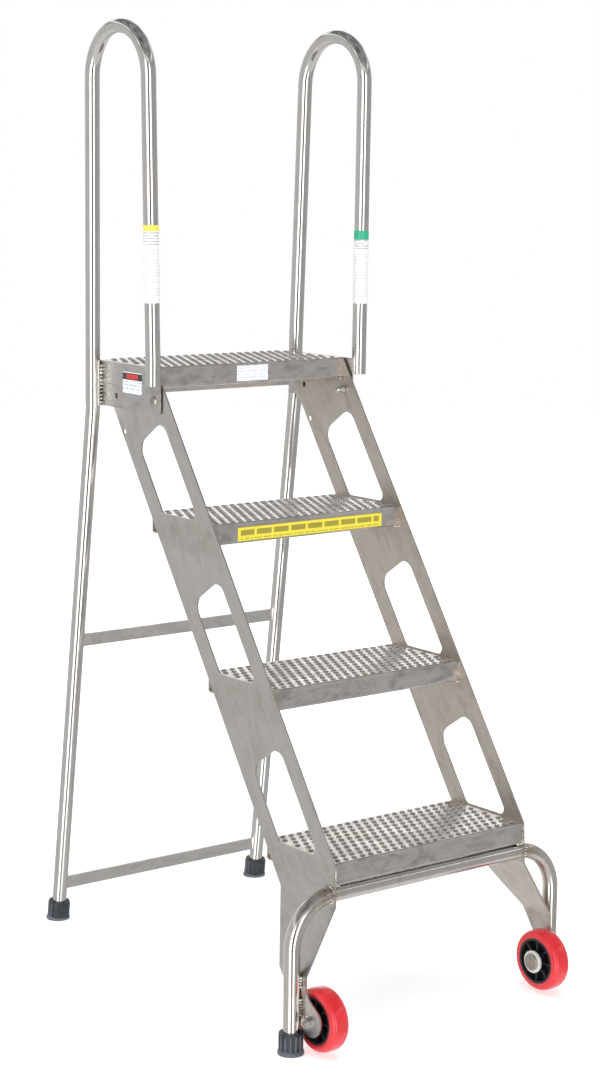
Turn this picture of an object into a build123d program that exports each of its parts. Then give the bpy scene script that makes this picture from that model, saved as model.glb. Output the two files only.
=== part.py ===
from build123d import *
import math
import os

# Folding stainless steel ladder stand with four steps, two wheels and two tube handrails.
# Millimetres. +X to the right seen from the front, +Y to the rear, +Z up.
# The origin is on the floor, under the middle of the open ladder.

# Steps
STEP_COUNT = 4
STEP_PITCH = 242.0
STEP_RUN = 163.8
TOP_STEP_Z = 1016.0
STEP_WIDTH = 393.0
STEP_DEPTH = 175.0
STEP_FLANGE = 35.0
STEP_LIP = 15.0
STEP_SHEET = 2.5
STEP_BEND = 4.0

# Plates and tubes
PLATE = 3.0
TUBE_R = 12.7
TUBE_WALL = 1.6
PIVOT_GAP = 2.0

# Plan positions, measured backwards from the nose of the top step
PIVOT_BACK = -3.0
PIVOT_Z = 960.0
LOCK_REACH = 111.5
FOLD_ANGLE = 32.4
BASE_LEG_BACK = -481.7
BASE_LEG_X = 271.3
BASE_CROSS_Z = 240.0
BASE_BEND_R = 76.2
WHEEL_BACK = -509.0
WHEEL_Z = 54.5
WHEEL_R = 50.8
REAR_FOOT_BACK = 276.4
REAR_FOOT_X = 220.5

# Handrail tubes
RAIL_FRONT_BACK = -20.0
RAIL_REAR_BACK = 161.6
RAIL_END_Z = 988.0
RAIL_SET_Z = 1030.0
RAIL_TOP_Z = 1567.5
RAIL_BEND_Z = 935.0
RAIL_FLARE = 0.014
RAIL_FRONT_LEAN = 0.011
RAIL_REAR_LEAN = 0.022
RAIL_LOOP_R = 81.5
LEG_BEND_R = 90.0
SET_BEND_R = 150.0

# Side brackets
BRACKET_FRONT_BACK = -21.0
BRACKET_REAR_BACK = 160.0
BRACKET_BOTTOM_Z = 940.0
BRACKET_CORNER_R = 6.0
LOCK_HOLE_R = 4.75

# Flat bars between the rear legs
BAR_THICK = 5.0
CROSSBAR_HEIGHT = 22.0
CROSSBAR_Z = (521.5, 66.5)
STOP_BAR_HEIGHT = 26.0
STOP_CLEARANCE = 0.5

# Stringers
STRINGER_DEPTH = 177.0
FOLD_DEPTH = 180.0
WINDOW_STRIP = 37.5
WINDOW_TOP = 86.0
WINDOW_FLOOR = 240.0
WINDOW_TOP_R = 22.5
WINDOW_LOW_R = 10.0
FOLD_TOP_Z = 222.0
FOLD_LOW_Z = 123.0
FOLD_R = 5.0
EAR_R = 25.5
EAR_BACK = -512.5
EAR_Z = 57.5
EAR_FRONT_ANGLE = 165.0
NECK_BACK = -500.0
NECK_WIDTH = 66.0

# Feet
FOOT_R = 18.6
FOOT_FLARE_R = 21.0
FOOT_HEIGHT = 34.0
FOOT_SOLE = 8.0
FOOT_RIBS = 14
FOOT_RIB_R = 1.5

# Wheels
TREAD_WIDTH = 32.0
TREAD_SHOULDER_R = 9.0
HUB_RIM_R = 38.0
HUB_RIM_WALL = 4.0
HUB_BOSS_R = 13.0
HUB_LENGTH = 38.0
HUB_SPOKES = 8
WHEEL_WASHER = 4.0
WHEEL_WASHER_R = 18.5
BUSH_R = 7.0
AXLE_R = 5.0
RUNNING = 0.06
SIDE_PLAY = 0.4

# Fasteners
PIVOT_R = 4.0
HEAD_R = 9.5
HEAD_HEIGHT = 4.8
CAP_NUT_FLATS = 13.0
CAP_NUT_HEX = 6.5
CAP_NUT_DOME_R = 6.0
CAP_NUT_HEIGHT = 15.0
CAP_NUT_CROWN = 4.0
AXLE_HEAD_R = 14.0
AXLE_HEAD_HEIGHT = 4.0
THIN_WASHER = 1.5
THIN_WASHER_R = 10.5
NUT_FLATS = 16.0
NUT_HEIGHT = 7.0

# Lock plunger
PIN_R = 4.0
PIN_TRAVEL = 12.5
HOUSING_R = 9.0
HOUSING_BORE_R = 6.8
HOUSING_LENGTH = 28.0
HOUSING_FLOOR = 3.0
COLLAR_R = 6.5
COLLAR_THICK = 2.5
KNOB_R = 9.0
KNOB_LENGTH = 14.0
PIN_SEAT = 7.0
SPRING_WIRE_R = 0.6
SPRING_R = 5.4
SPRING_TURNS = 5

# Weld beads
BEAD_R = 3.0
BEAD_SPACING = 5.5
BEAD_LENGTH = 4.6
BEAD_BACK = 9.2
BEAD_OUT = 2.2
BRACKET_WELD = (945.0, 1012.0)
LEG_WELDS = ((62.0, 87.0), (107.0, 119.0))
COLLAR_BEAD_LEG = 3.0

# Labels
LABEL_THICK = 0.3
RAIL_LABEL_LENGTH = 126.0
RAIL_LABEL_LOW = {-1: 1123.5, 1: 1111.0}

# Derived places
NOSE_Y = (WHEEL_R - WHEEL_BACK - REAR_FOOT_BACK - FOOT_FLARE_R) / 2
RUN_PER_RISE = STEP_RUN / STEP_PITCH
PLATE_IN_X = STEP_WIDTH / 2
PLATE_OUT_X = PLATE_IN_X + PLATE
BRACKET_IN_X = PLATE_OUT_X + PIVOT_GAP
BRACKET_OUT_X = BRACKET_IN_X + PLATE
RAIL_X = BRACKET_OUT_X + TUBE_R
EAR_OUT_X = BASE_LEG_X - TUBE_R
EAR_IN_X = EAR_OUT_X - PLATE
FLANGE_BOTTOM_Z = TOP_STEP_Z - STEP_FLANGE
LEG_SLOPE = (REAR_FOOT_BACK - RAIL_REAR_BACK) / RAIL_BEND_Z
HUB_OUT_X = EAR_IN_X - WHEEL_WASHER - SIDE_PLAY
HUB_IN_X = HUB_OUT_X - HUB_LENGTH
WHEEL_X = (HUB_OUT_X + HUB_IN_X) / 2
SIDES = {"left": -1, "right": 1}


def at(back, z, x=0.0):
    """Point given by its distance behind the nose of the top step."""
    return Vector(x, NOSE_Y + back, z)


def nose_back(z):
    """Front edge of the stringers, behind the nose of the top step, at height z."""
    return -(TOP_STEP_Z - z) * RUN_PER_RISE


def step_top(index):
    return TOP_STEP_Z - index * STEP_PITCH


def mirrored(shape, side):
    """Shapes are drawn on the right and mirrored for the left."""
    return shape if side > 0 else mirror(shape, about=Plane.YZ)


def group(shapes):
    return Compound(children=[solid for shape in shapes for solid in shape.solids()])


def plate_x(points, low_x, thickness):
    """Flat plate across X from an outline of (y, z) points."""
    face = make_face(Polyline(*[(low_x, y, z) for y, z in points], close=True))
    return extrude(face, thickness, dir=(1, 0, 0))


def rod_x(radius, low_x, high_x, y, z):
    """Round bar along X."""
    middle = ((low_x + high_x) / 2, y, z)
    return Pos(*middle) * Rot(0, 90, 0) * Cylinder(radius, high_x - low_x)


def hex_x(flats, low_x, high_x, y, z):
    """Hexagonal bar along X."""
    outline = RegularPolygon(flats / 2, 6, major_radius=False)
    return Pos(low_x, y, z) * Rot(0, 90, 0) * extrude(outline, high_x - low_x)


def tube_along(path, radius=TUBE_R, wall=TUBE_WALL):
    """Round tube along a path; wall None gives a solid bar."""
    start = Plane(origin=path @ 0, z_dir=path % 0)
    body = sweep(start * Circle(radius), path=path)
    if wall is None:
        return body
    return body - sweep(start * Circle(radius - wall), path=path)


# Handrail tubes, which are also the rear legs

def leg_back(z):
    """Axis of the rear leg behind the nose of the top step."""
    return RAIL_REAR_BACK + (RAIL_BEND_Z - z) * LEG_SLOPE


def leg_x(z):
    return RAIL_X + (REAR_FOOT_X - RAIL_X) * (RAIL_BEND_Z - z) / RAIL_BEND_Z


def rail_path():
    rise = RAIL_TOP_Z - RAIL_SET_Z
    top_x = RAIL_X + rise * RAIL_FLARE
    points = [
        at(RAIL_FRONT_BACK, RAIL_END_Z, RAIL_X),
        at(RAIL_FRONT_BACK, RAIL_SET_Z, RAIL_X),
        at(RAIL_FRONT_BACK + rise * RAIL_FRONT_LEAN, RAIL_TOP_Z, top_x),
        at(RAIL_REAR_BACK - rise * RAIL_REAR_LEAN, RAIL_TOP_Z, top_x),
        at(RAIL_REAR_BACK, RAIL_SET_Z, RAIL_X),
        at(RAIL_REAR_BACK, RAIL_BEND_Z, RAIL_X),
        at(leg_back(FOOT_SOLE), FOOT_SOLE, leg_x(FOOT_SOLE)),
    ]
    radii = [SET_BEND_R, RAIL_LOOP_R, RAIL_LOOP_R, SET_BEND_R, LEG_BEND_R]
    return FilletPolyline(*points, radius=radii)


def handrail_tube(side):
    return mirrored(tube_along(rail_path()), side)


def handrail_envelope(side):
    return mirrored(tube_along(rail_path(), wall=None), side)


# Rear frame

def bracket(side):
    outline = [
        (NOSE_Y + BRACKET_FRONT_BACK, BRACKET_BOTTOM_Z),
        (NOSE_Y + BRACKET_REAR_BACK, BRACKET_BOTTOM_Z),
        (NOSE_Y + BRACKET_REAR_BACK, TOP_STEP_Z),
        (NOSE_Y + BRACKET_FRONT_BACK, TOP_STEP_Z),
    ]
    body = plate_x(outline, BRACKET_IN_X, PLATE)
    corner = body.edges().filter_by(Axis.X).sort_by(Axis.Z)[:2].sort_by(Axis.Y)[0]
    body = fillet(corner, BRACKET_CORNER_R)
    for back, radius in ((PIVOT_BACK, PIVOT_R), (PIVOT_BACK + LOCK_REACH, LOCK_HOLE_R)):
        body -= rod_x(radius, BRACKET_IN_X - 1, BRACKET_OUT_X + 1, NOSE_Y + back, PIVOT_Z)
    return mirrored(body, side)


def flat_bar(z_middle, height, back, half_length):
    """Upright flat bar between the two legs, its ends shaped to the tubes."""
    bar = Pos(*at(back, z_middle)) * Box(2 * half_length, BAR_THICK, height)
    for side in SIDES.values():
        bar -= handrail_envelope(side)
    return bar.solids().sort_by(SortBy.VOLUME)[-1]


def stop_bar():
    top = FLANGE_BOTTOM_Z - STOP_CLEARANCE
    return flat_bar(top - STOP_BAR_HEIGHT / 2, STOP_BAR_HEIGHT, RAIL_REAR_BACK + 1, RAIL_X)


def crossbar(z):
    return flat_bar(z, CROSSBAR_HEIGHT, leg_back(z), leg_x(z))


def pivot_bolt(side):
    y = NOSE_Y + PIVOT_BACK
    shank_end = PLATE_IN_X - SIDE_PLAY - CAP_NUT_HEIGHT + CAP_NUT_CROWN
    body = rod_x(PIVOT_R, shank_end, BRACKET_OUT_X, y, PIVOT_Z)
    dome_r = (HEAD_R ** 2 + HEAD_HEIGHT ** 2) / (2 * HEAD_HEIGHT)
    start = math.degrees(math.asin(1 - HEAD_HEIGHT / dome_r))
    dome = Sphere(dome_r, arc_size1=start, align=(Align.CENTER, Align.CENTER, Align.MIN))
    return mirrored(body + Pos(BRACKET_OUT_X, y, PIVOT_Z) * Rot(0, 90, 0) * dome, side)


def pivot_spacer(side):
    y = NOSE_Y + PIVOT_BACK
    low_x = PLATE_OUT_X + SIDE_PLAY
    ring = rod_x(HEAD_R, low_x, BRACKET_IN_X, y, PIVOT_Z)
    return mirrored(ring - rod_x(PIVOT_R, low_x - 1, BRACKET_IN_X + 1, y, PIVOT_Z), side)


def pivot_nut(side):
    """Cap nut: a hexagon with a domed closed end that covers the end of the bolt."""
    y = NOSE_Y + PIVOT_BACK
    high_x = PLATE_IN_X - SIDE_PLAY
    low_x = high_x - CAP_NUT_HEIGHT
    hex_low_x = high_x - CAP_NUT_HEX
    cap = rod_x(CAP_NUT_DOME_R, low_x, hex_low_x, y, PIVOT_Z)
    crown = cap.edges().filter_by(GeomType.CIRCLE).sort_by(Axis.X)[0]
    nut = fillet(crown, CAP_NUT_DOME_R - 1) + hex_x(CAP_NUT_FLATS, hex_low_x, high_x, y, PIVOT_Z)
    hole = rod_x(PIVOT_R, low_x + CAP_NUT_CROWN, high_x + 1, y, PIVOT_Z)
    return mirrored(nut - hole, side)


# Lock plunger on the right bracket, drawn pulled out and parked

def lock_axis():
    return NOSE_Y + PIVOT_BACK + LOCK_REACH, PIVOT_Z


def lock_housing():
    y, z = lock_axis()
    low_x = BRACKET_OUT_X
    high_x = low_x + HOUSING_LENGTH
    body = rod_x(HOUSING_R, low_x, high_x, y, z)
    body += hex_x(2 * HOUSING_R + 1, high_x - 8, high_x, y, z)
    body -= rod_x(HOUSING_BORE_R, low_x - 1, high_x - HOUSING_FLOOR, y, z)
    return body - rod_x(PIN_R + RUNNING, low_x, high_x + 1, y, z)


def collar_outer_x():
    """Outer face of the pin's collar while the pin is parked."""
    return BRACKET_OUT_X + COLLAR_THICK + PIN_TRAVEL + 1


def lock_pin():
    y, z = lock_axis()
    tip_x = BRACKET_IN_X + 1
    tail_x = BRACKET_OUT_X + HOUSING_LENGTH + PIN_TRAVEL + 1 + PIN_SEAT
    body = rod_x(PIN_R, tip_x, tail_x, y, z)
    tip = body.edges().filter_by(GeomType.CIRCLE).sort_by(Axis.X)[0]
    body = chamfer(tip, 1.0)
    return body + rod_x(COLLAR_R, collar_outer_x() - COLLAR_THICK, collar_outer_x(), y, z)


def lock_knob():
    y, z = lock_axis()
    low_x = BRACKET_OUT_X + HOUSING_LENGTH + PIN_TRAVEL + 1
    body = rod_x(KNOB_R, low_x, low_x + KNOB_LENGTH, y, z)
    body = fillet(body.edges().filter_by(GeomType.CIRCLE), 2.5)
    return body - rod_x(PIN_R, low_x - 1, low_x + PIN_SEAT, y, z)


def lock_spring():
    y, z = lock_axis()
    low_x = collar_outer_x() + SPRING_WIRE_R + 0.1
    high_x = BRACKET_OUT_X + HOUSING_LENGTH - HOUSING_FLOOR - SPRING_WIRE_R - 0.1
    pitch = (high_x - low_x) / SPRING_TURNS
    coil = Helix(pitch=pitch, height=high_x - low_x, radius=SPRING_R)
    wire = sweep(Plane(origin=coil @ 0, z_dir=coil % 0) * Circle(SPRING_WIRE_R), path=coil)
    return Pos(low_x, y, z) * Rot(0, 90, 0) * wire


# Stringers

def stringer_outline():
    """Side view of a stringer as (y, z) lines and arcs, without its cut-outs."""
    ear = at(EAR_BACK, EAR_Z)
    fold_rear = at(nose_back(FOLD_TOP_Z) + FOLD_DEPTH, FOLD_TOP_Z)
    top_rear = at(STRINGER_DEPTH, TOP_STEP_Z)
    top_nose = at(0, TOP_STEP_Z)
    lowest = step_top(STEP_COUNT - 1)
    low_nose = at(nose_back(lowest), lowest)
    neck = at(NECK_BACK, EAR_Z + 2 * EAR_R)
    neck_top = at(NECK_BACK, FOLD_LOW_Z)
    low_rear = at(NECK_BACK + NECK_WIDTH, FOLD_LOW_Z)
    rear_angle = math.degrees(math.atan2(low_rear.Z - ear.Z, low_rear.Y - ear.Y))
    reach = math.hypot(low_rear.Z - ear.Z, low_rear.Y - ear.Y)
    rear_touch = rear_angle - math.degrees(math.acos(EAR_R / reach))

    def on_ear(angle):
        turn = math.radians(angle)
        return Vector(0, ear.Y + EAR_R * math.cos(turn), ear.Z + EAR_R * math.sin(turn))

    front = on_ear(EAR_FRONT_ANGLE)
    bottom = on_ear((EAR_FRONT_ANGLE + 360 + rear_touch) / 2)
    tangent = math.radians(EAR_FRONT_ANGLE + 90)
    downwards = Vector(0, math.cos(tangent), math.sin(tangent))
    rim = [on_ear(rear_touch), low_rear, fold_rear, top_rear, top_nose, low_nose, neck_top, neck]
    edges = [
        Polyline(*rim),
        Spline(neck, front, tangents=[(0, 0, -1), downwards]),
        ThreePointArc(front, bottom, on_ear(rear_touch)),
    ]
    return make_face(edges)


def fold_profile():
    """Front view of the folded sheet: flat above, leaning outwards, then upright again."""
    middle = [
        (PLATE_IN_X + PLATE / 2, TOP_STEP_Z + 1),
        (PLATE_IN_X + PLATE / 2, FOLD_TOP_Z),
        (EAR_IN_X + PLATE / 2, FOLD_LOW_Z),
        (EAR_IN_X + PLATE / 2, EAR_Z - EAR_R - 1),
    ]
    line = FilletPolyline(*[(x, 0, z) for x, z in middle], radius=FOLD_R)
    section = Plane(origin=line @ 0, z_dir=line % 0) * Rectangle(PLATE, 1000)
    return Pos(0, NOSE_Y - 150, 0) * sweep(section, path=line)


def cut_out(top):
    """Window between two steps: sides parallel to the stringer, square top, level bottom."""
    width = STRINGER_DEPTH - 2 * WINDOW_STRIP
    slope = math.atan2(STEP_PITCH, STEP_RUN)
    across = width * math.sin(slope)
    crown_z = top - WINDOW_TOP
    floor_z = top - WINDOW_FLOOR
    shoulder_z = crown_z - across * math.cos(slope)
    crown_back = nose_back(crown_z) + WINDOW_STRIP
    corners = [
        at(crown_back, crown_z),
        at(crown_back + across * math.sin(slope), shoulder_z),
        at(nose_back(floor_z) + WINDOW_STRIP + width, floor_z),
        at(nose_back(floor_z) + WINDOW_STRIP, floor_z),
    ]
    window = extrude(make_face(Polyline(*corners, close=True)), 2 * EAR_OUT_X, dir=(1, 0, 0))
    edges = window.edges().filter_by(Axis.X).sort_by(Axis.Z)
    window = fillet(edges[:2], WINDOW_LOW_R)
    edges = window.edges().filter_by(Axis.X).filter_by(lambda edge: edge.center().Z > floor_z + 50)
    return fillet(edges, WINDOW_TOP_R)


def lower_lock_hole():
    turn = math.radians(FOLD_ANGLE)
    return (NOSE_Y + PIVOT_BACK + LOCK_REACH * math.cos(turn), PIVOT_Z - LOCK_REACH * math.sin(turn))


def stringer(side):
    outline = extrude(stringer_outline(), 2 * EAR_OUT_X, dir=(1, 0, 0))
    body = fold_profile() & outline
    for index in range(STEP_COUNT - 1):
        body -= cut_out(step_top(index))
    holes = [
        (PIVOT_R + RUNNING, NOSE_Y + PIVOT_BACK, PIVOT_Z),
        (LOCK_HOLE_R, *lock_axis()),
        (LOCK_HOLE_R, *lower_lock_hole()),
    ]
    for radius, y, z in holes:
        body -= rod_x(radius, PLATE_IN_X - 1, PLATE_OUT_X + 1, y, z)
    body -= rod_x(AXLE_R, EAR_IN_X - 1, EAR_OUT_X + 1, NOSE_Y + WHEEL_BACK, WHEEL_Z)
    body -= base_envelope()
    return mirrored(body.solids().sort_by(SortBy.VOLUME)[-1], side)


# Base tube

def base_path():
    foot_z = FOOT_SOLE
    points = [
        at(BASE_LEG_BACK, foot_z, -BASE_LEG_X),
        at(BASE_LEG_BACK, BASE_CROSS_Z, -BASE_LEG_X),
        at(BASE_LEG_BACK, BASE_CROSS_Z, BASE_LEG_X),
        at(BASE_LEG_BACK, foot_z, BASE_LEG_X),
    ]
    return FilletPolyline(*points, radius=BASE_BEND_R)


def base_tube():
    return tube_along(base_path())


def base_envelope():
    return tube_along(base_path(), wall=None)


# Steps

def step_channel(index):
    """Folded step: tread, front and rear flanges, and lips turned in under them."""
    top = step_top(index)
    nose = nose_back(top)
    half = STEP_SHEET / 2
    low = top - STEP_FLANGE + half
    middle = [
        at(nose + STEP_LIP, low),
        at(nose + half, low),
        at(nose + half, top - half),
        at(nose + STEP_DEPTH - half, top - half),
        at(nose + STEP_DEPTH - half, low),
        at(nose + STEP_DEPTH - STEP_LIP, low),
    ]
    line = FilletPolyline(*middle, radius=STEP_BEND - half)
    section = Plane(origin=line @ 0, z_dir=line % 0, x_dir=(1, 0, 0)) * Rectangle(STEP_WIDTH, STEP_SHEET)
    return sweep(section, path=line)


# Feet

def foot(axis_top, axis_bottom):
    """Ribbed rubber ferrule around a leg, with a flared sole flat on the floor."""
    axis = axis_top - axis_bottom
    plane = Plane(origin=axis_bottom, z_dir=axis)
    sleeve = plane * Pos(0, 0, FOOT_HEIGHT / 2) * Cylinder(FOOT_R, FOOT_HEIGHT)
    for turn in range(FOOT_RIBS):
        rib = Rot(0, 0, turn * 360 / FOOT_RIBS) * Pos(FOOT_R - 0.4, 0, FOOT_HEIGHT / 2 - 1)
        sleeve += plane * rib * Cylinder(FOOT_RIB_R, FOOT_HEIGHT - 2)
    sole = Pos(*axis_bottom) * Pos(0, 0, 2) * Cylinder(FOOT_FLARE_R, 4)
    skirt = Pos(*axis_bottom) * Pos(0, 0, 6) * Cone(FOOT_FLARE_R, FOOT_R, 4)
    body = sleeve + sole + skirt
    return body & (Pos(axis_bottom.X, axis_bottom.Y, 50) * Box(80, 80, 100))


def front_foot(side):
    bottom = at(BASE_LEG_BACK, 0, BASE_LEG_X)
    top = at(BASE_LEG_BACK, 100, BASE_LEG_X)
    body = foot(top, bottom) - base_envelope()
    return mirrored(body, side)


def rear_foot(side):
    bottom = at(REAR_FOOT_BACK, 0, REAR_FOOT_X)
    top = at(leg_back(300), 300, leg_x(300))
    body = foot(top, bottom) - handrail_envelope(1)
    return mirrored(body, side)


# Wheels

def wheel_place(shape, side):
    """Place a shape whose axis is Z on the wheel axle, its +Z end outwards."""
    placed = Pos(WHEEL_X, NOSE_Y + WHEEL_BACK, WHEEL_Z) * Rot(0, 90, 0) * shape
    return mirrored(placed, side)


def wheel_tread(side):
    ring = Cylinder(WHEEL_R, TREAD_WIDTH)
    ring = fillet(ring.edges().filter_by(GeomType.CIRCLE), TREAD_SHOULDER_R)
    return wheel_place(ring - Cylinder(HUB_RIM_R, TREAD_WIDTH + 2), side)


def wheel_hub(side):
    rim = Cylinder(HUB_RIM_R, TREAD_WIDTH) - Cylinder(HUB_RIM_R - HUB_RIM_WALL, TREAD_WIDTH + 2)
    boss = Cylinder(HUB_BOSS_R, HUB_LENGTH)
    web = Cylinder(HUB_RIM_R - 1, 3)
    spoke_length = HUB_RIM_R - 1
    body = rim + boss + web
    for turn in range(HUB_SPOKES):
        rib = Pos(spoke_length / 2, 0, 0) * Box(spoke_length, 3, TREAD_WIDTH - 6)
        body += Rot(0, 0, turn * 360 / HUB_SPOKES) * rib
    return wheel_place(body - Cylinder(BUSH_R, HUB_LENGTH + 2), side)


def wheel_bush(side):
    ring = Cylinder(BUSH_R, HUB_LENGTH) - Cylinder(AXLE_R + RUNNING, HUB_LENGTH + 2)
    return wheel_place(ring, side)


def axle_bolt(side):
    """Bolt with a wide flat head on the inner side of the wheel."""
    y = NOSE_Y + WHEEL_BACK
    head_out = HUB_IN_X - SIDE_PLAY - WHEEL_WASHER
    shank = rod_x(AXLE_R, head_out, EAR_OUT_X + THIN_WASHER + NUT_HEIGHT + 1.5, y, WHEEL_Z)
    head = rod_x(AXLE_HEAD_R, head_out - AXLE_HEAD_HEIGHT, head_out, y, WHEEL_Z)
    rim = head.edges().filter_by(GeomType.CIRCLE).sort_by(Axis.X)[0]
    return mirrored(shank + fillet(rim, 2), side)


def axle_ring(radius, low_x, thickness, side):
    """Flat ring on the axle."""
    y = NOSE_Y + WHEEL_BACK
    ring = rod_x(radius, low_x, low_x + thickness, y, WHEEL_Z)
    hole = rod_x(AXLE_R, low_x - 1, low_x + thickness + 1, y, WHEEL_Z)
    return mirrored(ring - hole, side)


def wheel_spacers(side):
    """Thick plain bearing washers, a wide one inside the hub and a small one outside it."""
    inner_x = HUB_IN_X - SIDE_PLAY - WHEEL_WASHER
    outer_x = EAR_IN_X - WHEEL_WASHER
    return [
        axle_ring(WHEEL_WASHER_R, inner_x, WHEEL_WASHER, side),
        axle_ring(HUB_BOSS_R, outer_x, WHEEL_WASHER, side),
    ]


def axle_washer(side):
    """Thin washer under the nut."""
    return axle_ring(THIN_WASHER_R, EAR_OUT_X, THIN_WASHER, side)


def axle_nut(side):
    y = NOSE_Y + WHEEL_BACK
    low_x = EAR_OUT_X + THIN_WASHER
    nut = hex_x(NUT_FLATS, low_x, low_x + NUT_HEIGHT, y, WHEEL_Z)
    return mirrored(nut - rod_x(AXLE_R, low_x - 1, low_x + NUT_HEIGHT + 1, y, WHEEL_Z), side)


# Weld beads

def groove_row(tube_x, tube_back, low_z, high_z):
    """Row of weld dots in the groove between an upright tube and the plate on its inner side."""
    plate_x_face = tube_x - TUBE_R
    middle_z = (low_z + high_z) / 2
    length = high_z - low_z + 20
    tube = Pos(*at(tube_back, middle_z, tube_x)) * Cylinder(TUBE_R, length)
    plate_side = Pos(*at(tube_back, middle_z, plate_x_face - 5)) * Box(10, 60, length)
    beads = []
    for index in range(int((high_z - low_z) / BEAD_SPACING) + 1):
        place = at(tube_back - BEAD_BACK, low_z + index * BEAD_SPACING, plate_x_face + BEAD_OUT)
        dot = Pos(*place) * Cylinder(BEAD_R, BEAD_LENGTH)
        beads.append(dot - tube - plate_side)
    return beads


def corner_bead(x, back, z):
    """Half of a round bead below a step's flange, tapering away from the stringer."""
    dot = Pos(*at(back, z, x - BEAD_R / 2)) * Rot(0, -90, 0) * Cone(BEAD_R + 1, BEAD_R - 1, BEAD_R)
    above = Pos(*at(back, z + 5, x)) * Box(20, 20, 10)
    return dot - above


def collar_bead(x, back, z):
    """Sloping ring of weld round the cross tube where it passes a plate."""
    cone = Cone(TUBE_R + COLLAR_BEAD_LEG, TUBE_R + 0.5, COLLAR_BEAD_LEG)
    placed = Pos(*at(back, z, x + COLLAR_BEAD_LEG / 2)) * Rot(0, 90, 0) * cone
    return placed - base_envelope()


def frame_welds():
    beads = groove_row(RAIL_X, RAIL_REAR_BACK, *BRACKET_WELD)
    return group(mirrored(bead, side) for bead in beads for side in SIDES.values())


def ladder_welds():
    beads = []
    for low_z, high_z in LEG_WELDS:
        beads += groove_row(BASE_LEG_X, BASE_LEG_BACK, low_z, high_z)
    for index in range(STEP_COUNT):
        top = step_top(index)
        beads.append(corner_bead(PLATE_IN_X, nose_back(top) + STEP_SHEET / 2, top - STEP_FLANGE))
    beads.append(collar_bead(PLATE_OUT_X, BASE_LEG_BACK, BASE_CROSS_Z))
    return group(mirrored(bead, side) for bead in beads for side in SIDES.values())


# Labels

def face_label(x_low, x_high, y, z_low, z_high):
    """Thin label on a face that looks forwards."""
    size = (x_high - x_low, LABEL_THICK, z_high - z_low)
    return Pos((x_low + x_high) / 2, y - LABEL_THICK / 2, (z_low + z_high) / 2) * Box(*size)


def bracket_label():
    size = (LABEL_THICK, 57.0, 35.5)
    body = Pos(*at(60, 985.3, -BRACKET_OUT_X - LABEL_THICK / 2)) * Box(*size)
    return fillet(body.edges().filter_by(Axis.X), 3)


def rail_label(side):
    low = RAIL_LABEL_LOW[side]
    path = rail_path()
    rise = low - RAIL_SET_Z
    start = at(RAIL_FRONT_BACK + rise * RAIL_FRONT_LEAN, low, RAIL_X + rise * RAIL_FLARE)
    run = RAIL_LABEL_LENGTH
    direction = Vector(RAIL_FLARE, RAIL_FRONT_LEAN, 1).normalized()
    plane = Plane(origin=start, z_dir=direction)
    sleeve = Pos(0, 0, run / 2) * (Cylinder(TUBE_R + LABEL_THICK, run) - Cylinder(TUBE_R, run + 2))
    return mirrored(plane * sleeve, side)


def write(name, shape):
    export_step(shape, f"parts/{name}.step")


os.makedirs("parts", exist_ok=True)

for name, side in SIDES.items():
    write(f"{name}_handrail_tube", handrail_tube(side))
    write(f"{name}_bracket", bracket(side))
    write(f"{name}_rear_foot", rear_foot(side))
    write(f"{name}_stringer", stringer(side))
    write(f"{name}_front_foot", front_foot(side))
    write(f"{name}_wheel_tread", wheel_tread(side))
    write(f"{name}_wheel_hub", wheel_hub(side))
    write(f"{name}_wheel_bush", wheel_bush(side))
    write(f"{name}_rail_label", rail_label(side))

write("stop_bar", stop_bar())
write("mid_crossbar", crossbar(CROSSBAR_Z[0]))
write("lower_crossbar", crossbar(CROSSBAR_Z[1]))
write("pivot_bolts", group(pivot_bolt(side) for side in SIDES.values()))
write("pivot_spacers", group(pivot_spacer(side) for side in SIDES.values()))
write("pivot_nuts", group(pivot_nut(side) for side in SIDES.values()))
write("frame_welds", frame_welds())
write("lock_housing", lock_housing())
write("lock_pin", lock_pin())
write("lock_knob", lock_knob())
write("lock_spring", lock_spring())
write("bracket_label", bracket_label())

for index in range(STEP_COUNT):
    write(f"step_{index + 1}", step_channel(index))
write("base_tube", base_tube())
write("ladder_welds", ladder_welds())
write("axle_bolts", group(axle_bolt(side) for side in SIDES.values()))
write("wheel_spacers", group(ring for side in SIDES.values() for ring in wheel_spacers(side)))
write("axle_washers", group(axle_washer(side) for side in SIDES.values()))
write("axle_nuts", group(axle_nut(side) for side in SIDES.values()))
write("top_step_label", face_label(-32.0, 33.5, NOSE_Y, 985.0, 1011.5))
write("second_step_label", face_label(-147.5, 155.5, NOSE_Y - STEP_RUN, 742.0, 766.0))
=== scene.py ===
import math
import random

import bmesh
import bpy
from mathutils import Matrix, Vector, noise


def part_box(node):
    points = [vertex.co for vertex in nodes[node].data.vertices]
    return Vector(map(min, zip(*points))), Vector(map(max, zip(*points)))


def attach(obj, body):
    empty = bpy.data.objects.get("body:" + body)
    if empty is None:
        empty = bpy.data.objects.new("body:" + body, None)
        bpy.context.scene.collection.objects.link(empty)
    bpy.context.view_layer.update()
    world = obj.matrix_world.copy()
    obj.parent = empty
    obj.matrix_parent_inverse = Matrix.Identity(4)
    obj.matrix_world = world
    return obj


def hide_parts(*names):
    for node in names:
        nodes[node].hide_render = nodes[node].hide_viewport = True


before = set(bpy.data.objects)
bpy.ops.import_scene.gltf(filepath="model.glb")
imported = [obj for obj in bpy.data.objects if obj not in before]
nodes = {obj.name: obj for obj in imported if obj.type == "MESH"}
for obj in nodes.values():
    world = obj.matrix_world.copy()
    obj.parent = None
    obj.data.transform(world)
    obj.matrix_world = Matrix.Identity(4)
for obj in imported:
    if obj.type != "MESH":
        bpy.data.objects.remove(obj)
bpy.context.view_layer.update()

MM = 0.001

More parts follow.
